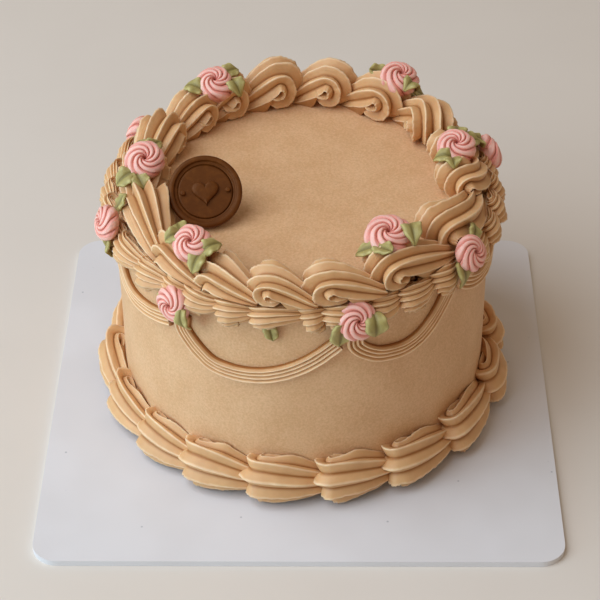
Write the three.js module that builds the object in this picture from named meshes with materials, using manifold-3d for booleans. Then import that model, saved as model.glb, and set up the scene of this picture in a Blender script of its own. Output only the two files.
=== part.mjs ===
// A one-tier buttercream cake on its square cake board.
// Millimetres, +Z up. The origin is at the centre of the board's underside, and the front is at -Y.
// Angles are in degrees, counter-clockwise seen from above, with 0 at +X and the front at -90.
import * as THREE from 'three';
import { mergeVertices } from 'three/addons/utils/BufferGeometryUtils.js';
import Module from 'manifold-3d';

const wasm = await Module();
wasm.setup();

// Clearance that touching pieces keep, and the shared volume that still counts as none.
const gap = 0.3;
const noVolume = 1e-6;

const board = {
  side: 203,
  thickness: 2.5,
  cornerRadius: 10,
  cornerSteps: 6,
};

const cake = {
  radius: 73.6,
  height: 94.2,
  centreX: 1,
  centreY: 9.8,
  edgeRadius: 1.2,
  facets: 48,
};

// Big shells on the rim. Their ring is a little oval, and they stand tallest at the back.
const topBorder = {
  headAngles: [-145, -125, -107.5, -91, -71, -44, -13, 6, 22, 47, 68.5, 88.5, 109, 124, 143, 167, 189],
  sideRadius: 61.5,
  frontRadius: 68.5,
  backRadius: 64.5,
  halfWidth: 10.5,
  height: 15.5,
  frontFall: 1,
  backRise: 4,
  eyeHeight: 5,
  headLength: 13,
  tailHeight: 0.38,
  tailWidth: 0.64,
  tailShift: 0,
  footDepth: 0,
  usualPitch: 23.5,
  ribs: 6,
  ribDepth: 0.26,
  turns: [5, 48, 90],
};

// Small shells round the rim's corner, below the big ones.
const collar = {
  count: 35,
  unevenSpacing: 0.22,
  halfWidth: 6.8,
  middleBelowRim: 3.8,
  lean: 30,
  height: 3.8,
  eyeHeight: 1,
  headLength: 6,
  tailHeight: 0.45,
  tailWidth: 0.62,
  tailShift: 0,
  footDepth: 4,
  usualPitch: 13.2,
  ribs: 4,
  ribDepth: 0.26,
  turns: [10, 90],
};

// The big shells lie inside a cone that opens upwards from their outer foot, the small ones outside it.
const partingShare = 0.8;

// Shells in the corner between the wall and the board.
const baseBorder = {
  headAngles: [-165, -145, -127, -107.5, -87, -67, -45, -20.5, 2, 23, 44, 65, 86, 108, 130, 152, 174],
  halfWidth: 11.5,
  middleHeight: 11,
  height: 12,
  eyeHeight: 4,
  headLength: 12,
  tailHeight: 0.42,
  tailWidth: 0.5,
  tailShift: 4,
  footDepth: 6,
  usualPitch: 27.2,
  lean: 20,
  ribs: 5,
  ribDepth: 0.2,
  turns: [0, 48, 90],
};

// What all shells share: how far their ribs fan out to each side, how much lower the eye's ends lie, how
// far a tail runs on under the next head, the tail's middle, how much narrower the foot is, and how
// uneven and how short or long a shell may be.
const shellForm = {
  fanEnd: 80,
  eyeDrop: 0.6,
  coverLength: 0.9,
  coverSpread: 0.5,
  middleFall: 0.28,
  middleNarrowing: 0.35,
  footWidth: 0.86,
  unevenWidth: 0.03,
  unevenHeight: 0.04,
  shortest: 0.8,
  longest: 1.1,
};

// Piped bands that hang on the wall from one side rose to the next. Each falls straight down from its rose
// to its lead, on to its lowest depth below the rim at a share of its way, and rises to the next rose.
const swags = {
  width: 6.6,
  thickness: 2,
  grooveDepth: 0.9,
  ropes: 3,
  steps: 8,
  stops: 6,
  startInset: 0.6,
  endInset: 4.8,
  startBelowRose: 7,
  leadBelowRose: 14.5,
  endBelowRose: 12.5,
  fallPower: 3,
  risePower: 2,
  belowCollar: 10.8,
  paths: [
    { lowest: 24, lowestAt: 0.48 },
    { lowest: 35.2, lowestAt: 0.4 },
    { lowest: 28.6, lowestAt: 0.44 },
    { lowest: 21.7, lowestAt: 0.5 },
    { lowest: 23.7, lowestAt: 0.5 },
    { lowest: 24, lowestAt: 0.48 },
    { lowest: 23.7, lowestAt: 0.5 },
    { lowest: 19, lowestAt: 0.5 },
  ],
};

// A leaf starts at its rose's edge in the direction "from" and points along "heading".
// On the border both are compass angles; on the wall 0 is counter-clockwise along it and 90 is up.
function leaf(from, heading, length, width, offRose = 0.8) {
  return { from, heading, length, width, offRose };
}

// Star-tip roses: on the border at a radius and a rise above the cake's top, leaning toward a compass angle,
// and on the wall, where the tilt turns them upwards. Leaves that touch each other share a list.
const roses = {
  ridges: 9,
  ridgeDepth: 0.14,
  topSunk: 4,
  topHeight: 7,
  sideSunk: 1.5,
  sideHeight: 5.5,
  sideFoot: 3.6,
  top: [
    {
      angle: 124.5, radius: 63.1, rise: 13, size: 15.8, lean: 20, toward: -90,
      leaves: [[leaf(-136, 150, 8, 7)], [leaf(62, 36, 6.5, 7)], [leaf(15, -60, 7, 7)]],
    },
    {
      angle: 55.8, radius: 68.5, rise: 13, size: 16.2, lean: 24, toward: -50,
      leaves: [[leaf(124, -170, 7, 7)], [leaf(-13, -126, 8, 6.5), leaf(-13, 14, 7, 6.5)]],
    },
    {
      angle: 8.7, radius: 61, rise: 11, size: 16, lean: 20, toward: -90,
      leaves: [[leaf(86, 84, 7, 7), leaf(72, 8, 7, 7)], [leaf(-101, 174, 7, 6), leaf(-108, -84, 6, 6)]],
    },
    {
      angle: -56.4, radius: 58.8, rise: 11, size: 17.6, lean: 18, toward: -90,
      leaves: [[leaf(-125, 177, 7, 6), leaf(-132, -44, 7.5, 6.5)], [leaf(44, -80, 12.2, 7, 2.4)]],
    },
    {
      angle: -126.5, radius: 65.5, rise: 10.5, size: 15, lean: 32, toward: -115,
      leaves: [
        [leaf(121, -158, 7, 6), leaf(130, 112, 7.5, 6)],
        [leaf(-52, 31, 7, 6.5), leaf(-52, -128, 7, 6.5)],
      ],
    },
    {
      angle: -179.2, radius: 60.4, rise: 12, size: 16, lean: 33, toward: -90,
      leaves: [[leaf(99, 118, 5, 6), leaf(86, 50, 6, 6)], [leaf(-130, -150, 7, 7), leaf(-117, -62, 6, 7)]],
    },
  ],
  side: [
    {
      angle: -160, belowRim: -2, size: 14.4, tilt: 20,
      leaves: [[leaf(100, 90, 6, 6)], [leaf(-45, -108, 9.5, 6)]],
    },
    {
      angle: -126.5, belowRim: 8, size: 14, tilt: 8,
      leaves: [[leaf(172, -108, 9.5, 6)], [leaf(8, -84, 9.7, 5.5)]],
    },
    {
      angle: -74.5, belowRim: 6.5, size: 14.8, tilt: 24,
      leaves: [[leaf(-178, -91, 9.5, 8)], [leaf(22, -88, 9, 8)]],
    },
    {
      angle: -36.5, belowRim: -2.5, size: 14, tilt: 28,
      leaves: [[leaf(-173, -81, 11.3, 7)], [leaf(30, 40, 6, 6)]],
    },
    {
      angle: 18, belowRim: 0.5, size: 14.2, tilt: 16,
      leaves: [[leaf(-75, -85, 10, 8)], [leaf(99, 100, 7, 6)]],
    },
    {
      angle: 62, belowRim: 4, size: 14.2, tilt: 16,
      leaves: [[leaf(165, 150, 9, 6)], [leaf(-30, -50, 9, 6)]],
    },
    {
      angle: 107, belowRim: 5, size: 14, tilt: 16,
      leaves: [[leaf(-140, -120, 10, 6)], [leaf(20, 10, 9, 6)]],
    },
    {
      angle: 148, belowRim: 2, size: 14.4, tilt: 16,
      leaves: [[leaf(-120, -110, 8, 6)], [leaf(60, 60, 8, 6)]],
    },
  ],
};

// A rose's rings from the sunk stem to the top, as shares of its height, radius and ridge depth.
const roseRings = [
  { up: 0.08, reach: 0.97, twist: 0 },
  { up: 0.55, reach: 0.9, twist: -24 },
  { up: 0.9, reach: 0.48, twist: -60 },
];
const roseStem = 0.72;

// The room that a rose takes: wider than the rose by its clearance, and from its foot upwards.
const roseRoomForm = {
  sides: 10,
  clearance: 0.4,
  footWidth: 0.8,
  widestUp: 0.05,
  mouthUp: 2,
  mouthWidth: 1.1,
};

// A leaf's stations are shares of its length and its width, before the tip.
const leafShape = {
  thickness: 0.9,
  fold: 1,
  wave: 0.4,
  wavesAlong: 9,
  waveLag: 4,
  stations: [[0, 0.6], [0.48, 1]],
  middle: 0.55,
  end: 0.9,
  steepest: 0.4,
  seat: 2,
  probe: 1,
  dropFrom: 25,
  liftStep: 0.15,
  lowest: -2,
};

// A leaf tip that shows alone under the small shells.
const loneLeaf = { angle: -98.5, belowRim: 9.5, tilt: 16, blade: leaf(-80, -80, 7, 5) };

// A moulded chocolate seal that stands on the cake's top and leans back towards the border.
const seal = {
  diameter: 28.2,
  thickness: 3.2,
  rimWidth: 3.4,
  recess: 0.9,
  edgeRound: 1,
  innerSlope: 0.5,
  motifHeight: 0.5,
  motifSize: 9,
  motifRoot: 0.5,
  dotRadius: 1,
  dotPlace: 7.4,
  dotSides: 8,
  facets: 24,
  x: -36.7,
  y: -17.6,
  tilt: 42,
  turn: 8,
};

// The heart's outline from its lower tip, as curves in shares of its half size.
const heartCurves = [
  [-0.3, -0.6, -1, -0.1, -1, 0.35],
  [-1, 1, -0.2, 1, 0, 0.4],
  [0.2, 1, 1, 1, 1, 0.35],
  [1, -0.1, 0.3, -0.6, 0, -1],
];

// Satin surfaces of fat icing, chocolate, and matte card.
const finishes = {
  buttercream: { color: 0xd0a67a, roughness: 0.55, metalness: 0 },
  piping: { color: 0xd2a877, roughness: 0.5, metalness: 0 },
  rosePink: { color: 0xe0a8a0, roughness: 0.5, metalness: 0 },
  leafGreen: { color: 0xa8a877, roughness: 0.55, metalness: 0 },
  chocolate: { color: 0x57311a, roughness: 0.4, metalness: 0 },
  card: { color: 0xd9d5d3, roughness: 0.7, metalness: 0 },
};

const radians = THREE.MathUtils.degToRad;

// Steady uneven numbers from -1 to 1, one for each piece.
function uneven(index, salt) {
  const wave = Math.sin(index * 12.9898 + salt * 78.233) * 43758.5453;
  return 2 * (wave - Math.floor(wave)) - 1;
}

function polar(radius, degrees, z) {
  const angle = radians(degrees);
  return new THREE.Vector3(radius * Math.cos(angle), radius * Math.sin(angle), z);
}

// Solids

function geometryFrom(points, triangles) {
  const positions = points.flatMap((point) => [point.x, point.y, point.z]);
  const geometry = new THREE.BufferGeometry();
  geometry.setAttribute('position', new THREE.Float32BufferAttribute(positions, 3));
  geometry.setIndex(triangles);
  return geometry;
}

function skinBetween(low, high, sides, triangles) {
  for (let side = 0; side < sides; side += 1) {
    const next = (side + 1) % sides;
    triangles.push(low + side, low + next, high + next);
    triangles.push(low + side, high + next, high + side);
  }
}

// Skins a stack of loops that have the same number of points, and closes both ends with a fan.
function skinLoops(loops) {
  const sides = loops[0].length;
  const points = loops.flat();
  const triangles = [];
  for (let row = 0; row < loops.length - 1; row += 1) {
    skinBetween(row * sides, (row + 1) * sides, sides, triangles);
  }
  for (const [row, outward] of [[0, -1], [loops.length - 1, 1]]) {
    const centre = new THREE.Vector3();
    loops[row].forEach((point) => centre.addScaledVector(point, 1 / sides));
    points.push(centre);
    for (let side = 0; side < sides; side += 1) {
      const edge = [row * sides + side, row * sides + ((side + 1) % sides)];
      if (outward < 0) {
        edge.reverse();
      }
      triangles.push(points.length - 1, edge[0], edge[1]);
    }
  }
  return facingOut(geometryFrom(points, triangles));
}

// Skins loops that follow each other round a ring.
function skinRing(loops) {
  const sides = loops[0].length;
  const triangles = [];
  loops.forEach((loop, row) => {
    skinBetween(row * sides, ((row + 1) % loops.length) * sides, sides, triangles);
  });
  return facingOut(geometryFrom(loops.flat(), triangles));
}

// Turns a closed surface right side out.
function facingOut(geometry) {
  const position = geometry.getAttribute('position');
  const index = geometry.getIndex();
  const [a, b, c] = [new THREE.Vector3(), new THREE.Vector3(), new THREE.Vector3()];
  let volume = 0;
  for (let corner = 0; corner < index.count; corner += 3) {
    a.fromBufferAttribute(position, index.getX(corner));
    b.fromBufferAttribute(position, index.getX(corner + 1));
    c.fromBufferAttribute(position, index.getX(corner + 2));
    volume += a.dot(b.cross(c));
  }
  if (volume < 0) {
    geometry.setIndex(Array.from(index.array).reverse());
  }
  return geometry;
}

function solidFrom(geometry) {
  const bare = geometry.clone();
  bare.deleteAttribute('normal');
  bare.deleteAttribute('uv');
  const merged = mergeVertices(bare, 1e-4);
  const mesh = new wasm.Mesh({
    numProp: 3,
    vertProperties: new Float32Array(merged.getAttribute('position').array),
    triVerts: new Uint32Array(merged.getIndex().array),
  });
  return new wasm.Manifold(mesh);
}

function geometryOf(solid) {
  const mesh = solid.getMesh();
  const geometry = new THREE.BufferGeometry();
  geometry.setAttribute('position', new THREE.Float32BufferAttribute(mesh.vertProperties, 3));
  geometry.setIndex(Array.from(mesh.triVerts));
  return geometry;
}

// Keeps the largest piece of a cut solid, without the crumbs.
function largestPiece(solid) {
  return solid.decompose().reduce((best, piece) => (piece.volume() > best.volume() ? piece : best));
}

function joined(solids) {
  return solids.reduce((whole, solid) => whole.add(solid));
}

// Piped shells

// A piped shell is a fat roll of ribs round an eye, drawn out to a tail that the next head covers.
// "along" runs from the head to the tail, "across" over the ribs, and "up" away from what carries it.
// Each section is a loop over the ribs and back along the foot: first where the tail before meets the
// head, then over the head by its turns, then half way down the tail.
// A foot with a depth reaches down into what carries the shell, and is cut or pressed flat against it.
function shellSections(shape, length) {
  const rows = 2 * shape.ribs - 1;
  const sections = [[], ...shape.turns.map(() => []), []];
  for (let row = 0; row < rows; row += 1) {
    const fan = radians(shellForm.fanEnd) * (2 * row / (rows - 1) - 1);
    const ridge = row % 2 === 0 ? 1 : 1 - shape.ribDepth;
    const reach = Math.cos(fan) * ridge;
    const across = shape.halfWidth * Math.sin(fan) * (1 + ridge) / 2;
    const eye = shape.eyeHeight * (1 - shellForm.eyeDrop * Math.sin(fan) ** 2);
    const above = (shape.height - shape.eyeHeight) * reach;
    const tail = [across * shape.tailWidth + shape.tailShift, shape.height * shape.tailHeight * reach];
    const covered = shellForm.coverLength * THREE.MathUtils.lerp(1, reach, shellForm.coverSpread);
    sections[0].push([-shape.headLength * covered, ...tail]);
    shape.turns.forEach((turn, order) => {
      const forward = -Math.cos(radians(turn)) * shape.headLength * reach;
      sections[order + 1].push([forward, across, eye + Math.sin(radians(turn)) * above]);
    });
    const middleAcross = THREE.MathUtils.lerp(across, tail[0], shellForm.middleNarrowing);
    const middleUp = THREE.MathUtils.lerp(eye + above, tail[1], shellForm.middleFall);
    sections.at(-1).push([length / 2, middleAcross, middleUp]);
  }
  return sections.map((section) => {
    const foot = [section.at(-1), section[0]].map(([along, across]) => (
      [along, across * shellForm.footWidth, -shape.footDepth]
    ));
    return [...section, ...foot];
  });
}

// Shells that follow each other round the cake as one ring.
function shellRing(shape, headAngles, radius, place) {
  const loops = headAngles.flatMap((headAngle, index) => {
    const nextHead = headAngles[(index + 1) % headAngles.length];
    const millimetresPerDegree = radians(radius(headAngle));
    const pitch = THREE.MathUtils.euclideanModulo(nextHead - headAngle, 360) * millimetresPerDegree;
    const size = THREE.MathUtils.clamp(pitch / shape.usualPitch, shellForm.shortest, shellForm.longest);
    const own = {
      ...shape,
      headLength: shape.headLength * Math.min(size, 1),
      halfWidth: shape.halfWidth * (1 + shellForm.unevenWidth * uneven(index, 1)),
      height: shape.height * (1 + shellForm.unevenHeight * uneven(index, 2)) * (1 + size) / 2,
    };
    const eyeAngle = headAngle + own.headLength / millimetresPerDegree;
    return shellSections(own, pitch - own.headLength).map((section) => (
      section.map(([along, across, up]) => place(eyeAngle + along / millimetresPerDegree, across, up))
    ));
  });
  return solidFrom(skinRing(loops));
}

// The border's middle line, further out at the front and the back than at the sides.
function topRadius(angle) {
  const forward = Math.sin(radians(angle));
  const furthest = forward < 0 ? topBorder.frontRadius : topBorder.backRadius;
  return topBorder.sideRadius + (furthest - topBorder.sideRadius) * forward ** 2;
}

// How much taller than usual the big shells are.
function topRise(angle) {
  const forward = Math.sin(radians(angle));
  const extra = forward < 0 ? -topBorder.frontFall * forward ** 2 : topBorder.backRise * forward ** 4;
  return 1 + extra / topBorder.height;
}

// How far a point lies outside the big shells' foot.
function pastFoot(radius, angle) {
  return Math.max(radius - topRadius(angle) - partingShare * topBorder.halfWidth, 0);
}

function topShells() {
  const place = (angle, across, up) => {
    const radius = topRadius(angle) + across;
    return polar(radius, angle, cake.height + gap + Math.max(up * topRise(angle), pastFoot(radius, angle)));
  };
  return shellRing(topBorder, topBorder.headAngles, topRadius, place);
}

// The small shells stand out from the corner by "up" and run down from it by "across".
function collarShells() {
  const headAngles = [];
  for (let index = 0; index < collar.count; index += 1) {
    headAngles.push(360 * (index + collar.unevenSpacing * uneven(index, 3)) / collar.count);
  }
  const lean = radians(collar.lean);
  const place = (angle, across, up) => {
    const radius = cake.radius + up * Math.cos(lean) + across * Math.sin(lean);
    const z = cake.height - collar.middleBelowRim + up * Math.sin(lean) - across * Math.cos(lean);
    return polar(radius, angle, Math.min(z, cake.height - gap + pastFoot(radius, angle)));
  };
  return shellRing(collar, headAngles, () => cake.radius, place).subtract(cakeRoom());
}

// The room that the cake takes out of what is wrapped round its rim.
function cakeRoom() {
  const sides = cake.facets / 2;
  const radius = (cake.radius + gap) / Math.cos(Math.PI / sides);
  const room = new THREE.CylinderGeometry(radius, radius, cake.height + gap, sides).rotateX(Math.PI / 2);
  return solidFrom(indexed(room.translate(0, 0, (cake.height + gap) / 2)));
}

// The base shells lean into the corner, flat against the wall and the board.
function baseShells() {
  const lean = radians(baseBorder.lean);
  const place = (angle, across, up) => {
    const out = up * Math.cos(lean) + across * Math.sin(lean);
    const z = baseBorder.middleHeight + up * Math.sin(lean) - across * Math.cos(lean);
    return polar(cake.radius + 2 * gap + Math.max(out, 0), angle, Math.max(z, gap));
  };
  return shellRing(baseBorder, baseBorder.headAngles, () => cake.radius, place);
}

// Swags

// A plain ring round the wall between two heights.
function wallRing(low, high) {
  const [inner, outer] = [cake.radius, cake.radius + 2 * swags.thickness];
  const outline = [[inner, low], [outer, low], [outer, high], [inner, high], [inner, low]];
  const ring = new THREE.LatheGeometry(outline.map(([x, y]) => new THREE.Vector2(x, y)), cake.facets / 2);
  return solidFrom(facingOut(indexed(ring.rotateX(Math.PI / 2))));
}

// The middle line of the band that hangs between two side roses, unrolled from the wall.
function swagLine(rose, next, { lowest, lowestAt }) {
  const from = rose.angle + swags.startInset;
  const span = THREE.MathUtils.euclideanModulo(next.angle - swags.endInset - from, 360);
  const onWall = (angle, depth) => {
    const along = radians(angle) * (cake.radius + gap);
    return new THREE.Vector3(along, cake.height - depth, 0);
  };
  const points = [onWall(from, rose.belowRim + swags.startBelowRose)];
  for (let stop = 0; stop <= swags.stops; stop += 1) {
    const share = stop / swags.stops;
    const falling = share < lowestAt;
    const fromLowest = Math.abs(share - lowestAt) / (falling ? lowestAt : 1 - lowestAt);
    const endDepth = falling ? rose.belowRim + swags.leadBelowRose : next.belowRim + swags.endBelowRose;
    const climb = fromLowest ** (falling ? swags.fallPower : swags.risePower);
    points.push(onWall(from + span * share, THREE.MathUtils.lerp(lowest, endDepth, climb)));
  }
  return new THREE.CatmullRomCurve3(points);
}

// A band of ropes along its middle line.
function swag(middle) {
  const wall = cake.radius + gap;
  const crests = 2 * swags.ropes + 1;
  const loops = [];
  for (let step = 0; step <= swags.steps; step += 1) {
    const here = middle.getPointAt(step / swags.steps);
    const ahead = middle.getTangentAt(step / swags.steps);
    const loop = [];
    for (let point = 0; point < crests; point += 1) {
      const across = swags.width * (point / (crests - 1) - 0.5);
      const edge = point === 0 || point === crests - 1;
      const rope = point % 2 === 1 ? swags.thickness : swags.thickness - swags.grooveDepth;
      const out = edge ? 0 : rope;
      const along = here.x - ahead.y * across;
      loop.push(polar(wall + out, THREE.MathUtils.radToDeg(along / wall), here.y + ahead.x * across));
    }
    loops.push(loop);
  }
  return solidFrom(skinLoops(loops));
}

// Roses

// A dome of twisted ridges, with a plain stem below that sinks into the icing.
function roseGeometry(size, height, sunk) {
  const points = 2 * roses.ridges;
  const loopOf = (reach, twist, up, ridgeDepth) => {
    const loop = [];
    for (let point = 0; point < points; point += 1) {
      const depth = point % 2 === 0 ? 0 : ridgeDepth;
      loop.push(polar(size / 2 * reach * (1 - depth), 360 * point / points + twist, up));
    }
    return loop;
  };
  const dome = roseRings.map(({ up, reach, twist }) => loopOf(reach, twist, up * height, roses.ridgeDepth));
  return skinLoops([loopOf(roseStem, 0, -sunk, 0), ...dome]);
}

// The room that a rose takes out of the icing, open above it.
function roseRoom(size, height, sunk) {
  const { sides, clearance, footWidth, widestUp, mouthUp, mouthWidth } = roseRoomForm;
  const radius = (size / 2 + clearance) / Math.cos(Math.PI / sides);
  const rings = [[-sunk - gap, footWidth], [height * widestUp, 1], [height * mouthUp, mouthWidth]];
  const loops = rings.map(([up, reach]) => {
    const loop = [];
    for (let side = 0; side < sides; side += 1) {
      loop.push(polar(radius * reach, 360 * side / sides, up));
    }
    return loop;
  });
  return skinLoops(loops);
}

// Where a rose stands: its foot and the frame whose z axis is the rose's own axis.
function topRoseFrame({ angle, radius, rise, lean, toward }) {
  const turned = new THREE.Matrix4().makeRotationAxis(polar(1, toward + 90, 0), radians(lean));
  return turned.setPosition(polar(radius, angle, cake.height + rise));
}

function sideRoseFrame({ angle, belowRim, tilt }) {
  const foot = polar(cake.radius + roses.sideFoot, angle, cake.height - belowRim);
  const around = polar(1, angle + 90, 0);
  const up = new THREE.Vector3(0, 0, 1);
  const frame = new THREE.Matrix4().makeBasis(around, up, polar(1, angle, 0));
  frame.multiply(new THREE.Matrix4().makeRotationX(-radians(tilt)));
  return frame.setPosition(foot);
}

// Leaves

// The height of the obstacles above a rose's foot plane, the highest within a small reach of a point.
function surfaceBelow(x, y, frame, surfaces) {
  const axis = new THREE.Vector3().setFromMatrixColumn(frame, 2);
  const heights = [[0, 0], [1, 0], [-1, 0], [0, 1], [0, -1]].map(([stepX, stepY]) => {
    const above = [x + stepX * leafShape.probe, y + stepY * leafShape.probe, leafShape.dropFrom];
    const start = new THREE.Vector3(...above).applyMatrix4(frame);
    const ray = new THREE.Raycaster(start, axis.clone().negate());
    const hits = ray.intersectObjects(surfaces, false);
    return hits.length > 0 ? leafShape.dropFrom - hits[0].distance : -leafShape.dropFrom;
  });
  return Math.max(...heights);
}

// A thin wavy blade in a rose's frame, draped over what lies below it. Both faces are split alike.
function leafGeometry({ from, heading, length, width, offRose }, roseRadius, base, restAt) {
  const start = polar(roseRadius + offRose, from, 0);
  const forward = polar(1, heading, 0);
  const sideways = polar(1, heading + 90, 0);
  const resting = (share, lowest) => restAt(start.clone().addScaledVector(forward, length * share), lowest);
  const middle = resting(leafShape.middle, base - leafShape.steepest * length);
  const end = resting(leafShape.end, middle - leafShape.steepest * length);
  const bow = 2 * (base + end) - 4 * middle;
  const { stations } = leafShape;
  const heightAt = (share) => base + gap + (end - base) * share - bow * share * (1 - share);
  const faces = [0, leafShape.thickness].map((offset) => {
    const points = stations.flatMap(([share, spread]) => [-0.5, 0, 0.5].map((side) => {
      const point = start.clone().addScaledVector(forward, length * share);
      point.addScaledVector(sideways, side * width * spread);
      const edgeWave = leafShape.wave * Math.sin(leafShape.wavesAlong * share + leafShape.waveLag * side);
      point.z = heightAt(share) + offset + (side === 0 ? 0 : leafShape.fold + edgeWave);
      return point;
    }));
    const tip = start.clone().addScaledVector(forward, length);
    tip.z = heightAt(1) + offset;
    return [...points, tip];
  });
  const count = faces[0].length;
  const tipIndex = count - 1;
  const triangles = [];
  const onBothFaces = (a, b, c) => triangles.push(count + a, count + b, count + c, c, b, a);
  for (let station = 0; station < stations.length - 1; station += 1) {
    const low = 3 * station;
    for (const column of [0, 1]) {
      onBothFaces(low + column, low + column + 3, low + column + 4);
      onBothFaces(low + column, low + column + 4, low + column + 1);
    }
  }
  onBothFaces(tipIndex - 3, tipIndex, tipIndex - 2);
  onBothFaces(tipIndex - 2, tipIndex, tipIndex - 1);
  const rim = [0, 1, 2, 5, tipIndex, 3];
  rim.forEach((point, order) => {
    const next = rim[(order + 1) % rim.length];
    triangles.push(next, point, count + point, next, count + point, count + next);
  });
  return facingOut(geometryFrom([...faces[0], ...faces[1]], triangles));
}

// Touching leaves start at one height and are one piece, which keeps out of the rose's room and is raised
// along the rose's axis until it is clear of what lies below.
function leafCluster(cluster, roseRadius, frame, room, obstacles) {
  const axis = new THREE.Vector3().setFromMatrixColumn(frame, 2);
  const surfaces = obstacles.map((obstacle) => new THREE.Mesh(geometryOf(obstacle)));
  const restAt = (point, lowest) => Math.max(surfaceBelow(point.x, point.y, frame, surfaces), lowest);
  const seats = cluster.map(({ from }) => polar(roseRadius + leafShape.seat, from, 0));
  const base = Math.max(...seats.map((seat) => restAt(seat, leafShape.lowest)));
  const blades = cluster.map((one) => leafGeometry(one, roseRadius, base, restAt).applyMatrix4(frame));
  let piece = largestPiece(joined(blades.map(solidFrom)).subtract(room));
  const lift = axis.multiplyScalar(leafShape.liftStep);
  const touches = () => obstacles.some((obstacle) => obstacle.intersect(piece).volume() > noVolume);
  while (touches()) {
    piece = piece.translate([lift.x, lift.y, lift.z]);
  }
  return piece.translate([lift.x, lift.y, lift.z]);
}

// Seal

// A thick disc with a raised rim, and a raised heart between two dots in its sunk middle.
function sealGeometry() {
  const radius = seal.diameter / 2;
  const top = seal.thickness;
  const floor = top - seal.recess;
  const inner = radius - seal.rimWidth;
  const round = seal.edgeRound;
  const profile = [
    [0, 0], [radius - round, 0], [radius, round], [radius, top - round], [radius - round, top],
    [inner + seal.innerSlope, top], [inner, floor], [0, floor],
  ];
  const outline = profile.map(([x, y]) => new THREE.Vector2(x, y));
  const disc = new THREE.LatheGeometry(outline, seal.facets).rotateX(Math.PI / 2);
  const half = seal.motifSize / 2;
  const heart = new THREE.Shape().moveTo(0, -half);
  heartCurves.forEach((curve) => heart.bezierCurveTo(...curve.map((share) => share * half)));
  const depth = seal.motifHeight + seal.motifRoot;
  const root = floor - seal.motifRoot;
  const settings = { depth, bevelEnabled: false, curveSegments: 3 };
  const raised = [new THREE.ExtrudeGeometry(heart, settings).translate(0, 0, root)];
  for (const side of [-1, 1]) {
    const dot = new THREE.CylinderGeometry(seal.dotRadius, seal.dotRadius, depth, seal.dotSides);
    raised.push(dot.rotateX(Math.PI / 2).translate(side * seal.dotPlace, 0, root + depth / 2));
  }
  return geometryOf(joined([facingOut(indexed(disc)), ...raised.map(indexed)].map(solidFrom)));
}

function indexed(geometry) {
  const bare = geometry.clone();
  bare.deleteAttribute('normal');
  bare.deleteAttribute('uv');
  return mergeVertices(bare, 1e-4);
}

// The seal's lower edge rests on the cake's top, and it leans back by its tilt.
function sealFrame() {
  const tilt = radians(seal.tilt);
  const turned = new THREE.Euler(tilt, 0, radians(seal.turn), 'ZYX');
  const lowest = seal.diameter / 2 * Math.sin(tilt);
  return { turned, foot: new THREE.Vector3(seal.x, seal.y, cake.height + gap + lowest) };
}

// Board and cake

function boardGeometry() {
  const half = board.side / 2;
  const inset = half - board.cornerRadius;
  const outline = new THREE.Shape();
  outline.absarc(inset, inset, board.cornerRadius, 0, Math.PI / 2);
  outline.absarc(-inset, inset, board.cornerRadius, Math.PI / 2, Math.PI);
  outline.absarc(-inset, -inset, board.cornerRadius, Math.PI, 1.5 * Math.PI);
  outline.absarc(inset, -inset, board.cornerRadius, 1.5 * Math.PI, 2 * Math.PI);
  const settings = { depth: board.thickness, bevelEnabled: false, curveSegments: board.cornerSteps };
  return indexed(new THREE.ExtrudeGeometry(outline, settings));
}

function cakeGeometry() {
  const { radius, height, edgeRadius } = cake;
  const roundness = 1 - Math.SQRT1_2;
  const profile = [
    [0, gap], [radius, gap], [radius, height - edgeRadius],
    [radius - edgeRadius * roundness, height - edgeRadius * roundness], [radius - edgeRadius, height],
    [0, height],
  ];
  const outline = profile.map(([x, y]) => new THREE.Vector2(x, y));
  return facingOut(indexed(new THREE.LatheGeometry(outline, cake.facets).rotateX(Math.PI / 2)));
}

// Assembly

const object = new THREE.Group();
const cakeGroup = new THREE.Group();
cakeGroup.position.set(cake.centreX, cake.centreY, board.thickness);
object.add(cakeGroup);

function addMesh(parent, name, geometry, finish) {
  const mesh = new THREE.Mesh(geometry, new THREE.MeshStandardMaterial(finishes[finish]));
  mesh.name = name;
  parent.add(mesh);
  return mesh;
}

addMesh(object, 'cake_board', boardGeometry(), 'card');
addMesh(cakeGroup, 'cake', cakeGeometry(), 'buttercream');

const topFrames = roses.top.map(topRoseFrame);
const sideFrames = roses.side.map(sideRoseFrame);
const topRooms = roses.top.map((rose, index) => (
  solidFrom(roseRoom(rose.size, roses.topHeight, roses.topSunk).applyMatrix4(topFrames[index]))
));
const sideRooms = roses.side.map((rose, index) => (
  solidFrom(roseRoom(rose.size, roses.sideHeight, roses.sideSunk).applyMatrix4(sideFrames[index]))
));
const sideRoom = joined(sideRooms);

const border = largestPiece(topShells().subtract(joined([...topRooms, ...sideRooms])));
addMesh(cakeGroup, 'top_border', geometryOf(border), 'piping');

const smallShells = largestPiece(collarShells().subtract(sideRoom));
addMesh(cakeGroup, 'collar_border', geometryOf(smallShells), 'piping');

const footShells = largestPiece(baseShells());
addMesh(cakeGroup, 'base_border', geometryOf(footShells), 'piping');

// Each swag starts and ends under a side rose and tucks in under the small shells.
const collarRoom = wallRing(cake.height - swags.belowCollar, cake.height);
const bands = swags.paths.map((path, index) => {
  const middle = swagLine(roses.side[index], roses.side[(index + 1) % roses.side.length], path);
  const band = largestPiece(swag(middle).subtract(collarRoom).subtract(sideRoom));
  addMesh(cakeGroup, `swag_${index + 1}`, geometryOf(band), 'piping');
  return band;
});

const obstacles = [border, smallShells, ...bands, solidFrom(cakeGeometry())];

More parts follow.
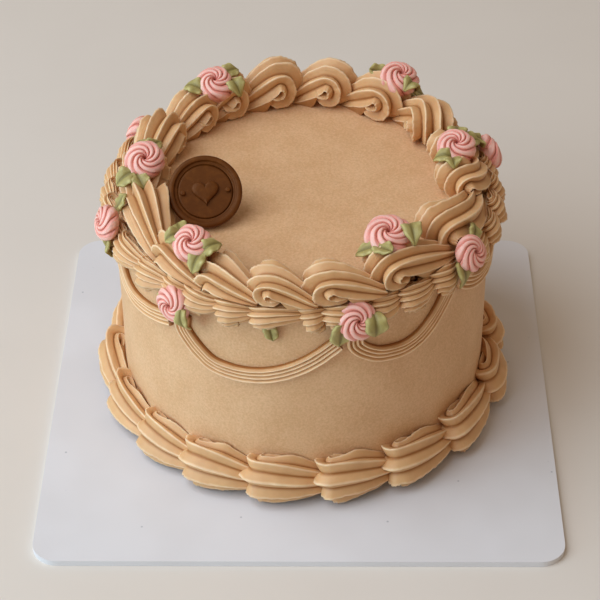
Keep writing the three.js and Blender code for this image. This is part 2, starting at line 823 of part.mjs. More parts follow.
function addRoses(label, list, frames, height, sunk) {
  list.forEach((rose, index) => {
    const dome = roseGeometry(rose.size, height, sunk);
    const mesh = addMesh(cakeGroup, `rose_${label}_${index + 1}`, dome, 'rosePink');
    frames[index].decompose(mesh.position, mesh.quaternion, mesh.scale);
    obstacles.push(solidFrom(mesh.geometry.clone().applyMatrix4(frames[index])));
  });
}

addRoses('top', roses.top, topFrames, roses.topHeight, roses.topSunk);
addRoses('side', roses.side, sideFrames, roses.sideHeight, roses.sideSunk);

const { turned, foot } = sealFrame();
const sealMesh = addMesh(cakeGroup, 'chocolate_seal', sealGeometry(), 'chocolate');
sealMesh.rotation.copy(turned);
sealMesh.position.copy(foot);
sealMesh.updateMatrix();
obstacles.push(solidFrom(sealMesh.geometry.clone().applyMatrix4(sealMesh.matrix)));

function addLeaves(label, list, frames, rooms) {
  list.forEach((rose, index) => {
    rose.leaves.forEach((cluster, order) => {
      const piece = leafCluster(cluster, rose.size / 2, frames[index], rooms[index], obstacles);
      obstacles.push(piece);
      addMesh(cakeGroup, `leaf_${label}_${index + 1}_${order + 1}`, geometryOf(piece), 'leafGreen');
    });
  });
}

addLeaves('top', roses.top, topFrames, topRooms);
addLeaves('side', roses.side, sideFrames, sideRooms);

const tipFrame = sideRoseFrame(loneLeaf);
const tipPiece = leafCluster([loneLeaf.blade], 0, tipFrame, cakeRoom(), obstacles);
addMesh(cakeGroup, 'leaf_lone', geometryOf(tipPiece), 'leafGreen');

export default object;
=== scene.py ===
import math
import bmesh
import bpy
import numpy as np
from mathutils import Matrix, Vector
from mathutils.bvhtree import BVHTree


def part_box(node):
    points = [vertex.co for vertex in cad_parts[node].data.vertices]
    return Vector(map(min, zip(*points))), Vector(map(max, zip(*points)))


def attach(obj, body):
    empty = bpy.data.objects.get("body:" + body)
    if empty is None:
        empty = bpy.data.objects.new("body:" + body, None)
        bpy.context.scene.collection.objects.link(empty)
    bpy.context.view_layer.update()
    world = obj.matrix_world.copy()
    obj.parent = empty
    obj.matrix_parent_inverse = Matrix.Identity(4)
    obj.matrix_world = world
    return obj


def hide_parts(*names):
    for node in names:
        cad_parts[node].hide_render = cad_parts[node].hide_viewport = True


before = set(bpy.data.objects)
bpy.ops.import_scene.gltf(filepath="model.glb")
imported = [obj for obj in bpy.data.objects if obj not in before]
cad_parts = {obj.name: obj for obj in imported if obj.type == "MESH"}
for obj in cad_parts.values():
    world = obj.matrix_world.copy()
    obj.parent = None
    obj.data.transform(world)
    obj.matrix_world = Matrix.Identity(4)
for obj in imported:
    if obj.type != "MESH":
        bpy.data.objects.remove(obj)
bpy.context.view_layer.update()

# Sizes are in millimetres, and each mesh is scaled to metres as it is made.
# Angles are in degrees, counter-clockwise seen from above, with the front of the cake at -90.
mm = 0.001


def nodeBox(name):
    low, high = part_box(name)
    return np.array(low) / mm, np.array(high) / mm


cakeLow, cakeHigh = nodeBox("cake")
boardTop = nodeBox("cake_board")[1][2]
cakeRadius = (cakeHigh[0] - cakeLow[0]) / 2
cakeHeight = cakeHigh[2] - boardTop
cakeMiddle = (cakeLow[:2] + cakeHigh[:2]) / 2
gap = 0.3  # clearance between touching pieces
print("frame: cake radius", round(cakeRadius, 2), "height", round(cakeHeight, 2))


# Points

def stacked(x, y, z):
    return np.stack(np.broadcast_arrays(x, y, z), axis=-1)


def polar(radius, angle, z):  # round the cake's axis, with z from the board's top
    turn, (middleX, middleY) = np.radians(angle), cakeMiddle
    return stacked(middleX + radius * np.cos(turn), middleY + radius * np.sin(turn), z + boardTop)


def between(low, high, share):
    return low + (high - low) * share


def ease(low, high, value):  # 0 below low, 1 above high, and smooth between
    share = np.clip((value - low) / (high - low), 0, 1)
    return share * share * (3 - 2 * share)


def uneven(index, salt):  # the same steady uneven numbers from -1 to 1 as the solids use
    wave = math.sin(index * 12.9898 + salt * 78.233) * 43758.5453
    return 2 * (wave - math.floor(wave)) - 1


rippleLook = {"layers": 5, "shortest": 0.7, "longest": 1.5, "wander": 1.2}


def ripple(points, size, seed):  # smooth, from -1 to 1, with bumps about this size across
    look = rippleLook
    draw = np.random.default_rng(seed)
    total = np.zeros(points.shape[:-1])
    for _ in range(look["layers"]):
        heading = draw.normal(size=3)
        length = size * draw.uniform(look["shortest"], look["longest"])
        heading *= 2 * math.pi / length / np.linalg.norm(heading)
        bend = draw.normal(size=3)
        bend *= math.pi / size / np.linalg.norm(bend)
        wander = look["wander"] * np.sin(points @ bend + draw.uniform(0, 2 * math.pi))
        total += np.sin(points @ heading + wander + draw.uniform(0, 2 * math.pi))
    return total / look["layers"]


def bumpy(points, bumps, seed):  # bumps are pairs of size and depth
    return sum(depth * ripple(points, size, seed + order) for order, (size, depth) in enumerate(bumps))


def smoothThrough(values, walk):  # a smooth curve through evenly spaced values
    padded = np.concatenate([[2 * values[0] - values[1]], values, [2 * values[-1] - values[-2]]])
    base = np.minimum(walk.astype(int), len(values) - 2)
    share = walk - base
    before, here, after, beyond = [padded[base + step] for step in range(4)]
    cubic = 3 * (here - after) + beyond - before
    square = 2 * before - 5 * here + 4 * after - beyond
    return here + 0.5 * share * (after - before + share * (square + share * cubic))


def grainOf(look, along, across, seed):  # where the points lie along and across the drawn cream
    return stacked(along / look["grainStretch"], across * look["grainAcross"], seed * look["grainPerSeed"])


def moved(matrix, part):
    turned = np.array(matrix)
    points, *rest = part
    return points @ turned[:3, :3].T + turned[:3, 3], *rest


# Meshes: a part is its points, its faces, a painted shade for each point, 0 for painted shade in a groove
# and 1 for a painted highlight on a crest, and its grain

def tube(sections, shade, grain=None, hollow=None):  # sections are an array of steps, sides, xyz
    steps, sides, _ = sections.shape
    faces = []
    for step in range(steps - 1):
        low = step * sides
        for side in range(sides):
            after = (side + 1) % sides
            faces.append((low + side, low + after, low + sides + after, low + sides + side))
    first, last = steps * sides, (steps - 1) * sides
    for side in range(sides):
        after = (side + 1) % sides
        faces.append((first, after, side))
        faces.append((first + 1, last + side, last + after))
    start = sections[0].mean(axis=0) if hollow is None else hollow
    # a hollow end gets 0, painted shade in the hollow
    startShade = shade[0].mean() if hollow is None else 0.0
    points = np.vstack([sections.reshape(-1, 3), start, sections[-1].mean(axis=0)])
    shades = np.concatenate([shade.ravel(), [startShade, shade[-1].mean()]])
    grain = sections if grain is None else grain
    grains = np.vstack([grain.reshape(-1, 3), grain[0].mean(axis=0), grain[-1].mean(axis=0)])
    return points, faces, shades, grains


def makePiece(name, parts, finish, nodes):
    points, faceLists, shades, grains = zip(*parts)
    faces, start = [], 0
    for own, itsFaces in zip(points, faceLists):
        faces += [tuple(index + start for index in face) for face in itsFaces]
        start += len(own)
    mesh = bpy.data.meshes.new(name)
    mesh.from_pydata((np.vstack(points) * mm).tolist(), [], faces)
    edit = bmesh.new()
    edit.from_mesh(mesh)
    bmesh.ops.recalc_face_normals(edit, faces=edit.faces)
    edit.to_mesh(mesh)
    edit.free()
    mesh.polygons.foreach_set("use_smooth", [True] * len(mesh.polygons))
    # the crest attribute carries each point's painted shade and highlight to the material
    shade = mesh.attributes.new("crest", "FLOAT", "POINT")
    shade.data.foreach_set("value", np.concatenate(shades).astype(np.float32))
    grain = mesh.attributes.new("grain", "FLOAT_VECTOR", "POINT")
    grain.data.foreach_set("vector", np.vstack(grains).astype(np.float32).ravel())
    mesh.materials.append(finish)
    piece = bpy.data.objects.new(name, mesh)
    bpy.context.scene.collection.objects.link(piece)
    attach(piece, "root")
    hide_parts(*nodes)
    print("made", name, "with", len(faces), "faces")
    return piece


# Materials

def colour(red, green, blue):  # from the usual 0 to 255 to the linear values that shaders take
    parts = [value / 255 for value in (red, green, blue)]
    linear = [part / 12.92 if part <= 0.04045 else ((part + 0.055) / 1.055) ** 2.4 for part in parts]
    return (*linear, 1)


class Wire:  # one output socket, so that shader maths reads as Python
    def __init__(self, finish, socket):
        self.finish, self.socket = finish, socket

    def maths(self, operation, *values):
        return self.finish.add("ShaderNodeMath", {"operation": operation}, *values)

    def __add__(self, other):
        return self.maths("ADD", self, other)

    def __radd__(self, other):
        return self.maths("ADD", other, self)

    def __sub__(self, other):
        return self.maths("SUBTRACT", self, other)

    def __rsub__(self, other):
        return self.maths("SUBTRACT", other, self)

    def __mul__(self, other):
        return self.maths("MULTIPLY", self, other)

    def __rmul__(self, other):
        return self.maths("MULTIPLY", other, self)

    def above(self, limit, soft):  # 0 below the limit, 1 a little above it
        return self.finish.add("ShaderNodeMapRange", {"interpolation_type": "SMOOTHSTEP"},
                               self, limit, limit + soft, 0.0, 1.0)


class Finish:  # one material with its shader
    def __init__(self, name, **constants):
        self.material = bpy.data.materials.new(name)
        self.material.use_nodes = True
        self.tree = self.material.node_tree
        self.shader = self.tree.nodes["Principled BSDF"]
        self.set(**constants)

    def set(self, **sockets):  # constants and links of the shader, with _ for the spaces of a name
        for name, value in sockets.items():
            self.plug(self.shader.inputs[name.replace("_", " ")], value)

    def plug(self, socket, value):
        if isinstance(value, Wire):
            self.tree.links.new(value.socket, socket)
        elif value is not None:
            socket.default_value = value

    def add(self, kind, settings=None, *values, out=0, **named):
        node = self.tree.nodes.new(kind)
        for name, value in (settings or {}).items():
            setattr(node, name, value)
        for order, value in enumerate(values):
            self.plug(node.inputs[order], value)
        for name, value in named.items():
            self.plug(node.inputs[name.replace("_", " ")], value)
        return Wire(self, node.outputs[out])

    def mix(self, share, first, second):  # two colours
        node = self.tree.nodes.new("ShaderNodeMix")
        node.data_type = "RGBA"
        for order, value in ((0, share), (6, first), (7, second)):
            self.plug(node.inputs[order], value)
        return Wire(self, node.outputs[2])

    def place(self):
        return self.add("ShaderNodeTexCoord", out="Object")

    def noise(self, size, detail=2.0, roughness=0.5):  # size is that of one bump
        return self.add("ShaderNodeTexNoise", Vector=self.place(), Scale=1 / (size * mm),
                        Detail=detail, Roughness=roughness, out="Fac")

    def bump(self, height, depth, under=None):  # depth is the height of a full step
        return self.add("ShaderNodeBump", Strength=1.0, Distance=depth * mm, Height=height, Normal=under)

    # each point's painted shade, 0 in a groove and 1 on a crest
    def crest(self):
        return self.add("ShaderNodeAttribute", {"attribute_name": "crest"}, out="Fac")

    def grain(self, size):  # fine lines along the drawn cream, in millimetres
        lines = self.add("ShaderNodeAttribute", {"attribute_name": "grain"}, out="Vector")
        return self.add("ShaderNodeTexNoise", Vector=lines, Scale=1 / size, Detail=2.0, out="Fac")


def creamyFinish(name, look):
    return Finish(name, Subsurface_Weight=look["translucence"], Subsurface_Radius=look["glow"],
                  Subsurface_Scale=1.0)


creamLook = {
    "lightTone": colour(225, 182, 138), "darkTone": colour(206, 159, 112),
    "darkBelow": 0.3, "toneSoftness": 0.4,
    "clothSize": 0.85, "clothDepth": 0.09, "poreSize": 0.35, "poreDepth": 0.03,
    "clothShare": 0.7, "cloudSize": 14,  # the cloth's share of the change in tone, and clouds give the rest
    "roughness": 0.55, "roughnessSwing": 0.12,
    "translucence": 0.12, "glow": (0.9 * mm, 0.45 * mm, 0.25 * mm),
}


def smoothCreamFinish(look):
    finish = creamyFinish("smooth caramel buttercream", look)
    cloth = finish.noise(look["clothSize"], 3.0, 0.6)
    cloud = finish.noise(look["cloudSize"])
    mixed = cloth * look["clothShare"] + cloud * (1 - look["clothShare"])
    light = mixed.above(look["darkBelow"], look["toneSoftness"])
    finish.set(Base_Color=finish.mix(light, look["darkTone"], look["lightTone"]),
               Roughness=look["roughness"] + look["roughnessSwing"] * cloth)
    pores = finish.bump(finish.noise(look["poreSize"], 1.0), look["poreDepth"])
    finish.set(Normal=finish.bump(cloth, look["clothDepth"], under=pores))
    return finish.material


pipedLook = {  # what the piped cream shares: random clouds of the darker groove-shade tone come and go
    "cloudSize": 6, "blotch": 0.5, "blotchFrom": 0.12, "grainSize": 0.4,
    "roughness": 0.5, "roughnessSwing": 0.1, "translucence": 0.15,
}

pipingLook = {
    **pipedLook, "grooveShare": 0.35, "highlightFrom": 0.78,
    "crestHighlightTone": colour(246, 212, 170), "faceTone": colour(219, 172, 121),
    "grooveShadeTone": colour(168, 108, 52),
    "drawnSize": 0.5, "drawnDepth": 0.16, "grainSize": 0.45, "grainDepth": 0.045,
    "glow": (1.1 * mm, 0.55 * mm, 0.28 * mm),
}

roseLook = {
    **pipedLook, "grooveShare": 0.7, "highlightFrom": 0.9,
    "crestHighlightTone": colour(248, 196, 182), "faceTone": colour(234, 160, 144),
    "grooveShadeTone": colour(190, 102, 88),
    "drawnSize": 0.45, "drawnDepth": 0.08, "grainDepth": 0.025,
    "roughness": 0.48, "translucence": 0.2, "glow": (1.2 * mm, 0.5 * mm, 0.35 * mm),
}

leafLook = {
    **pipedLook, "grooveShare": 0.5, "highlightFrom": 0.55,
    "crestHighlightTone": colour(198, 186, 122), "faceTone": colour(170, 155, 92),
    "grooveShadeTone": colour(114, 100, 46),
    "drawnSize": 0.6, "drawnDepth": 0.12, "grainDepth": 0.04,
    "glow": (0.8 * mm, 0.8 * mm, 0.3 * mm),
}


def pipedFinish(name, look):
    finish = creamyFinish(name, look)
    grain = finish.noise(look["grainSize"], 3.0, 0.6)
    cloud = finish.noise(look["cloudSize"])
    crest = finish.crest()
    # painted shade and light: the crest attribute darkens the grooves to the groove shade tone and paints a
    # highlight along the crests
    faces = finish.mix(crest.above(0.0, look["grooveShare"]), look["grooveShadeTone"], look["faceTone"])
    shadedAndLit = finish.mix(crest.above(look["highlightFrom"], 1 - look["highlightFrom"]), faces, look["crestHighlightTone"])
    blotches = (cloud - 0.5) * look["blotch"] + look["blotchFrom"]
    finish.set(Base_Color=finish.mix(blotches, shadedAndLit, look["grooveShadeTone"]),
               Roughness=look["roughness"] + look["roughnessSwing"] * grain)
    drawn = finish.bump(finish.grain(look["drawnSize"]), look["drawnDepth"])
    finish.set(Normal=finish.bump(grain, look["grainDepth"], under=drawn))
    return finish.material


chocolateLook = {
    "tone": colour(88, 44, 12), "bloomTone": colour(104, 56, 18),
    "bloomSize": 3, "bloomFrom": 0.4, "bloomSoftness": 0.4,
    "sheen": 0.3, "sheenTone": (1, 0.72, 0.45, 1),
    "fineSize": 0.7, "fineDepth": 0.03, "roughness": 0.36, "roughnessSwing": 0.14,
}


def chocolateFinish(look):
    finish = Finish("milk chocolate", Specular_IOR_Level=look["sheen"], Specular_Tint=look["sheenTone"])
    bloom = finish.noise(look["bloomSize"], 4.0, 0.6).above(look["bloomFrom"], look["bloomSoftness"])
    fine = finish.noise(look["fineSize"], 3.0)
    finish.set(Base_Color=finish.mix(bloom, look["tone"], look["bloomTone"]),
               Roughness=look["roughness"] + look["roughnessSwing"] * fine)
    finish.set(Normal=finish.bump(fine, look["fineDepth"]))
    return finish.material


cardLook = {
    "tone": colour(222, 219, 220), "cloudTone": colour(205, 200, 198),
    "cloudSize": 40, "cloudFrom": 0.35, "cloudSoftness": 0.3, "cloudStrength": 0.25,
    "fleckTone": colour(150, 150, 156), "fleckStrength": 0.6,
    "fleckSpacing": 9, "fleckRadius": 0.033,  # the radius is a share of the spacing
    "clearSize": 16, "clearBelow": 0.42, "clearSoftness": 0.1,  # some areas have no flecks
    "fibreSize": 0.6, "fibreDepth": 0.01, "roughness": 0.62,
}


def cardFinish(look):
    finish = Finish("matte white card", Roughness=look["roughness"])
    cells = finish.add("ShaderNodeTexVoronoi", Vector=finish.place(), Randomness=1.0,
                       Scale=1 / (look["fleckSpacing"] * mm), out="Distance")
    fleckedArea = finish.noise(look["clearSize"], 1.0).above(look["clearBelow"], look["clearSoftness"])
    flecks = (1 - cells.above(look["fleckRadius"], look["fleckRadius"])) * fleckedArea
    cloud = finish.noise(look["cloudSize"]).above(look["cloudFrom"], look["cloudSoftness"])
    base = finish.mix(cloud * look["cloudStrength"], look["tone"], look["cloudTone"])
    finish.set(Base_Color=finish.mix(flecks * look["fleckStrength"], base, look["fleckTone"]))
    finish.set(Normal=finish.bump(finish.noise(look["fibreSize"], 3.0), look["fibreDepth"]))
    return finish.material


cream = smoothCreamFinish(creamLook)
piping = pipedFinish("piped caramel buttercream", pipingLook)
rosePink = pipedFinish("piped pink buttercream", roseLook)
leafGreen = pipedFinish("piped green buttercream", leafLook)
chocolate = chocolateFinish(chocolateLook)
card = cardFinish(cardLook)
print("materials made")


# Cake board: the solid keeps its shape and gets eased edges

boardLook = {"edge": 0.35}


def dressBoard():
    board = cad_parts["cake_board"]
    board.data.materials.clear()
    board.data.materials.append(card)
    bevel = board.modifiers.new("eased edges", "BEVEL")
    bevel.width, bevel.segments, bevel.limit_method = boardLook["edge"] * mm, 2, "ANGLE"


# Cake

cakeLook = {
    "sides": 256, "edge": 1.2, "edgeSteps": 6, "wallSteps": 46, "topSteps": 40,
    "footInset": 1, "middleRadius": 0.5,
    "wallUneven": 0.22, "wallBump": 38, "wallSeed": 5, "footFade": 6,
    "topUneven": 0.15, "topBump": 32, "topSeed": 8, "rimFade": 12,
}


def makeCake():
    look = cakeLook
    edge, shoulder = look["edge"], cakeHeight - look["edge"]
    corner = np.radians(np.linspace(0, 90, look["edgeSteps"] + 1))
    foot = [(cakeRadius - look["footInset"], gap)]
    wall = [(cakeRadius, z) for z in np.linspace(gap, shoulder, look["wallSteps"])]
    rounded = [(cakeRadius - edge + edge * math.cos(turn), shoulder + edge * math.sin(turn))
               for turn in corner[1:]]
    inward = np.linspace(cakeRadius - edge, look["middleRadius"], look["topSteps"])
    profile = np.array(foot + wall + rounded + [(radius, cakeHeight) for radius in inward[1:]])
    radius, z = profile[:, :1], profile[:, 1:]
    angles = np.linspace(0, 360, look["sides"], endpoint=False)
    sections = polar(radius, angles[None, :], z)
    outward = polar(1, angles, 0)[None, :, :2] - cakeMiddle
    onWall = (z < shoulder) * ease(0, look["footFade"], z)
    push = look["wallUneven"] * onWall * ripple(sections, look["wallBump"], look["wallSeed"])
    sections[..., :2] += outward * push[..., None]
    inside = ease(0, look["rimFade"], cakeRadius - radius) * (z >= cakeHeight - 0.01)
    sink = ripple(sections, look["topBump"], look["topSeed"]) - 1
    sections[..., 2] += look["topUneven"] * inside * sink
    part = tube(sections, np.ones(sections.shape[:2]))
    return makePiece("cakeBody", [part], cream, ["cake"])


# Piped shells: a ribbed roll starts flat, turns back over itself round an eye, and is drawn out to a tail.
# A fan angle runs across the ribs from side to side, and a share runs down the tail.

shellLook = {  # what the rings of shells share, unless a ring has its own
    "fanEnd": 88, "fanTurn": 0, "loop": 0.15, "sideFill": 0.35, "shoulder": 0, "shoulderEnd": 0.5,
    "eyeInset": [0.5, 1.3, 2.4, 3.6], "eyeShrink": [0.88, 0.62, 0.35, 0.12],
    # eyeRowShade is the painted shade of the eye's rows, which is darkest in the deepest row
    "eyeRowStep": 0.2, "eyeRowShade": 0.6, "underEye": 1.3,
    "innerRows": 0.8, "eyeDropFrom": 0.15, "eyeDropOver": 0.3,  # inner rows drop to the foot in the tail
    "headByFront": 0, "headShift": 0, "tailShift": 0, "shiftByFront": 0, "sideFall": 0, "asidePower": 1.5,
    "footDepth": 0, "leadNarrow": 0.3, "leadPinch": 0.12, "hollow": 0.8,
    "firstTurns": {}, "yaws": {}, "turnIn": -90, "turnOut": 90,
    "smallest": 0.8, "largest": 1.1, "widthUneven": 0.03, "heightUneven": 0.04, "leadUneven": 0.3,
    "ribDepth": 0.48, "ribUneven": 0.06, "roundness": 0.02, "tailPower": 1.7, "tuck": 7,
    "swell": 0.05, "swellSize": 9, "raggedSize": 2.2,
    "tornSize": 1.3, "tornTooth": 0.2, "tornEdge": 0.12,
    "grainStretch": 12, "grainAcross": 5, "grainPerSeed": 3.7,
}


def shellRows(shape, draw):  # across the shell: its ribs, and the last rows of the eyes, which turn in
    ribs = shape["ribs"]
    middles = np.arange(ribs) + 0.5
    rib = np.linspace(0.5, ribs - 0.5, (ribs - 1) * shape["ribPoints"] + 1)
    valley = np.abs(2 * (rib % 1) - 1)
    crest = between(1 - valley, 1 - valley ** 2, shape["roundness"])
    fan = np.radians(shape["fanEnd"]) * (2 * (rib - 0.5) / (ribs - 1) - 1)
    fan = fan + np.radians(shape["fanTurn"]) * np.cos(fan)
    fan = fan + np.radians(shape["ribShift"]) * draw.uniform(-1, 1) * np.cos(fan)
    height = 1 + shape["ribUneven"] * np.interp(rib, middles, draw.uniform(-1, 1, ribs))
    tooth = np.interp(rib, middles, draw.uniform(-1, 1, ribs))
    inset, shrink = np.array(shape["eyeInset"]), np.array(shape["eyeShrink"])
    count = len(inset)
    beyond = shape["eyeRowStep"] * np.arange(1, count + 1)
    # the eye's rows get painted shade, darkest in the deepest row
    shade = np.linspace(0, shape["eyeRowShade"], count)

    def withEyes(values, first, last):
        return np.concatenate([np.broadcast_to(first, count), values, np.broadcast_to(last, count)])

    return (withEyes(rib, rib[0] - beyond[::-1], rib[-1] + beyond),
            withEyes(fan, fan[0], fan[-1]),
            withEyes(crest, shade, shade[::-1]),
            withEyes(height, height[0], height[-1]),
            withEyes(tooth, tooth[0], tooth[-1]),
            withEyes(np.ones(len(crest)), shrink[::-1], shrink),
            withEyes(np.zeros(len(crest)), inset[::-1], -inset))


def shellWalk(shape, firstTurn):  # down each row: the flat start, the turn over the head and the tail
    lead = np.linspace(1, 0, shape["leadSteps"], endpoint=False) if firstTurn < 0 else np.zeros(0)
    turn = np.radians(np.linspace(firstTurn, shape["turnOut"], shape["headSteps"]))
    share = np.linspace(0, 1, shape["tailSteps"])[1:]
    leads = np.concatenate([lead, np.zeros(len(turn) + len(share))])
    turns = np.concatenate([np.full(len(lead), turn[0]), turn, np.full(len(share), turn[-1])])
    shares = np.concatenate([np.zeros(len(lead) + len(turn)), share])
    return leads[:, None], turns[:, None], shares[:, None]


def shell(shape, length, place, seed, firstTurn, yaw):
    draw = np.random.default_rng(seed)
    rib, fan, crest, ribHeight, tooth, narrow, inward = shellRows(shape, draw)
    lead, turn, share = shellWalk(shape, firstTurn)
    side = np.abs(np.sin(fan))
    travel = turn * shape["height"] + share * length - lead * shape["lead"]
    spot = stacked(travel, fan * shape["halfWidth"], 0)
    swell = shape["swell"] * ripple(spot, shape["swellSize"], seed + 1)
    ragged = shape["ragged"] * crest * ripple(spot, shape["raggedSize"], seed + 2)
    ridge = 1 - shape["ribDepth"] * (1 - crest)
    ridge = np.where(narrow < 1, 1, ridge) * ribHeight * (1 + swell + ragged)
    # how far the surface reaches from the eye, and how far it lies to the side
    reach = (shape["loop"] + (1 - shape["loop"]) * np.cos(fan) * ridge) * narrow
    reach = reach * (1 - shape["leadNarrow"] * lead ** 2)
    across = shape["halfWidth"] * np.sin(fan) * between(ridge, 1, shape["sideFill"]) + inward
    across = across * (1 + shape["tonguePush"] * (lead > 0) * side ** 6)
    across = across * (1 - shape["leadPinch"] * lead ** 3)
    early = 1 - ease(0, shape["shoulderEnd"], share)
    across = across * (1 - shape["shoulder"] * early * np.maximum(-np.sin(fan), 0) ** 4)
    aside = between(across, across * shape["tailWidth"] + shape["tailShift"], share ** shape["asidePower"])
    # height: round the eye in the head, and down to the tail's end behind it
    above = np.sin(turn) * (shape["height"] - shape["eyeHeight"]) * reach
    below = np.sin(turn) * shape["eyeHeight"] * np.minimum(reach * shape["underEye"], 1)
    up = shape["eyeHeight"] + np.where(turn > 0, above, below)
    low = shape["height"] * shape["tailHeight"] * np.cos(fan) * ridge * narrow
    up = between(up, low, share ** (shape["tailPower"] - shape["sideFall"] * side ** 6))
    innermost = narrow < shape["innerRows"]
    up = up * (1 - innermost * ease(0, shape["eyeDropOver"], share - shape["eyeDropFrom"]))
    up = np.maximum(up, -shape["footDepth"])
    # length: a blunt head, the tail, and a torn end of the flat start
    blunt = np.maximum(np.cos(turn), 0) ** shape["blunt"]
    torn = 1 + shape["tornTooth"] * tooth + shape["tornEdge"] * ripple(spot, shape["tornSize"], seed + 3)
    along = length * share - blunt * shape["headLength"] * reach + lead * shape["lead"] * torn
    swing = np.radians(yaw) * (1 - ease(0, 1, share))
    along, aside = (along * np.cos(swing) + aside * np.sin(swing),
                    aside * np.cos(swing) - along * np.sin(swing))
    hollow = None
    if firstTurn < 0:
        deep = along[0] - shape["hollow"] * shape["lead"]
        hollow = place(deep, aside[0], up[0]).mean(axis=0)
    grain = grainOf(shape, travel, rib, seed)
    # the crest profile is also the painted shade: dark in the grooves, a highlight on the crests
    return tube(place(along, aside, up), np.broadcast_to(crest, up.shape), grain, hollow)


def shellRing(shape, heads, radiusAt, place):
    parts = []
    for index, head in enumerate(heads):
        perDegree = math.radians(radiusAt(head))
        pitch = (heads[(index + 1) % len(heads)] - head) % 360 * perDegree
        size = min(max(pitch / shape["usualPitch"], shape["smallest"]), shape["largest"])
        forward = -math.sin(math.radians(head))
        height = shape["height"] * (1 + size) / 2
        own = {
            **shape,
            "headLength": (shape["headLength"] - shape["headByFront"] * forward) * min(size, 1),
            "halfWidth": shape["halfWidth"] * (1 + shape["widthUneven"] * uneven(index, 1)),
            "height": height * (1 + shape["heightUneven"] * uneven(index, 2)),
            "tailShift": shape["tailShift"] + shape["shiftByFront"] * forward,
            "lead": shape["lead"] * (1 + shape["leadUneven"] * uneven(index, 5)),
        }
        firstTurn = shape["firstTurns"].get(index, shape["turnIn"])
        if firstTurn > 0:
            own["eyeHeight"] = shape["cutEye"]
        yaw = shape["yaws"].get(index, 0) + shape["yaw"] * uneven(index, 7)
        headReach = own["headLength"] + shape["headShift"]
        eyeAngle = head + headReach / perDegree
        parts.append(shell(own, pitch - headReach + shape["tuck"],
                           lambda along, across, up: place(eyeAngle + along / perDegree, across, up),
                           shape["seed"] + 10 * index, firstTurn, yaw))
    return parts


topLook = {
    **shellLook, "seed": 100,
    "heads": [-145, -125, -107.5, -91, -71, -44, -13, 6, 22, 47, 68.5, 88.5, 109, 124, 143, 167, 189],
    "sideRadius": 61.5, "frontRadius": 68.5, "backRadius": 64.5,
    "frontFall": 2.4, "backRise": 4, "parting": 0.8, "sunk": 0.2, "usualPitch": 23.5,
    "halfWidth": 10.5, "height": 15.5, "eyeHeight": 6.8, "cutEye": 1.5,
    "headLength": 11.5, "headByFront": 0.8, "headShift": 1.6, "blunt": 0.75,
    "tailHeight": 0.3, "tailWidth": 0.48, "tailShift": 3, "shiftByFront": 2.5,
    "sideFall": 1.0, "lead": 4, "leadSteps": 7, "tonguePush": 0.05,
    "ribs": 6, "ribPoints": 14, "ribShift": 6, "ragged": 0.045, "headSteps": 30, "tailSteps": 20,
    "firstTurns": {0: 15, 1: 15}, "yaw": 6, "yaws": {5: -18, 6: -58, 7: -62, 8: -30},
}


def topRadius(angle):
    forward = np.sin(np.radians(angle))
    furthest = np.where(forward < 0, topLook["frontRadius"], topLook["backRadius"])
    return topLook["sideRadius"] + (furthest - topLook["sideRadius"]) * forward ** 2


def topRise(angle):
    forward = np.sin(np.radians(angle))
    extra = np.where(forward < 0, -topLook["frontFall"] * forward ** 2, topLook["backRise"] * forward ** 4)
    return 1 + extra / topLook["height"]


def pastFoot(radius, angle):  # how far a point lies outside the big shells' foot
    return np.maximum(radius - topRadius(angle) - topLook["parting"] * topLook["halfWidth"], 0)


def onTop(angle, across, up):
    radius = topRadius(angle) + across
    over = np.maximum(up * topRise(angle), pastFoot(radius, angle))
    return polar(radius, angle, cakeHeight - topLook["sunk"] + over)


collarLook = {
    **shellLook, "seed": 400,
    "count": 35, "spacingUneven": 0.22, "usualPitch": 13.2,
    "middleBelowRim": 3.8, "lean": 30, "footDepth": 4,
    "halfWidth": 6.8, "height": 5.8, "eyeHeight": 2.4, "headLength": 6.2, "blunt": 0.8, "shoulder": 0.3,
    "tailHeight": 0.22, "tailWidth": 0.34, "tailPower": 1.3, "sideFall": 0.4,
    "tuck": 3.5, "lead": 3.5, "leadSteps": 5, "tonguePush": 0.1, "loop": 0.3, "sideFill": 0.3,
    "eyeInset": [0.4, 1.0, 1.8], "eyeShrink": [0.8, 0.5, 0.2],
    "ribs": 8, "ribPoints": 8, "ribDepth": 0.46, "ribShift": 8, "ribUneven": 0.16, "roundness": 0.35,
    "headSteps": 20, "tailSteps": 14, "yaw": 12, "swell": 0.09, "ragged": 0.1,
}


def leaning(look, across, up):  # how far out from the wall and up a shell's point lies
    lean = math.radians(look["lean"])
    return up * math.cos(lean) + across * math.sin(lean), up * math.sin(lean) - across * math.cos(lean)


def onCollar(angle, across, up):
    out, rise = leaning(collarLook, across, up)
    radius, rise = cakeRadius + out, rise - collarLook["middleBelowRim"]
    return polar(radius, angle, cakeHeight + np.minimum(rise, pastFoot(radius, angle)))


baseLook = {
    **shellLook, "seed": 900,
    "heads": [-165, -145, -127, -107.5, -87, -67, -45, -20.5, 2, 23, 44, 65, 86, 108, 130, 152, 174],
    "middleHeight": 11, "lowest": 0.1, "lean": 20, "sunk": 0.5, "footDepth": 6, "usualPitch": 27.2,
    "halfWidth": 11.5, "height": 12, "eyeHeight": 5, "headLength": 9, "blunt": 0.7, "fanTurn": 8,
    "shoulder": 0.34, "tailHeight": 0.4, "tailWidth": 0.42, "tailShift": 3.5,
    "lead": 7, "leadSteps": 8, "tonguePush": 0.04,
    "ribs": 5, "ribPoints": 16, "ribShift": 5, "ragged": 0.05, "headSteps": 28, "tailSteps": 22, "yaw": 4,
}


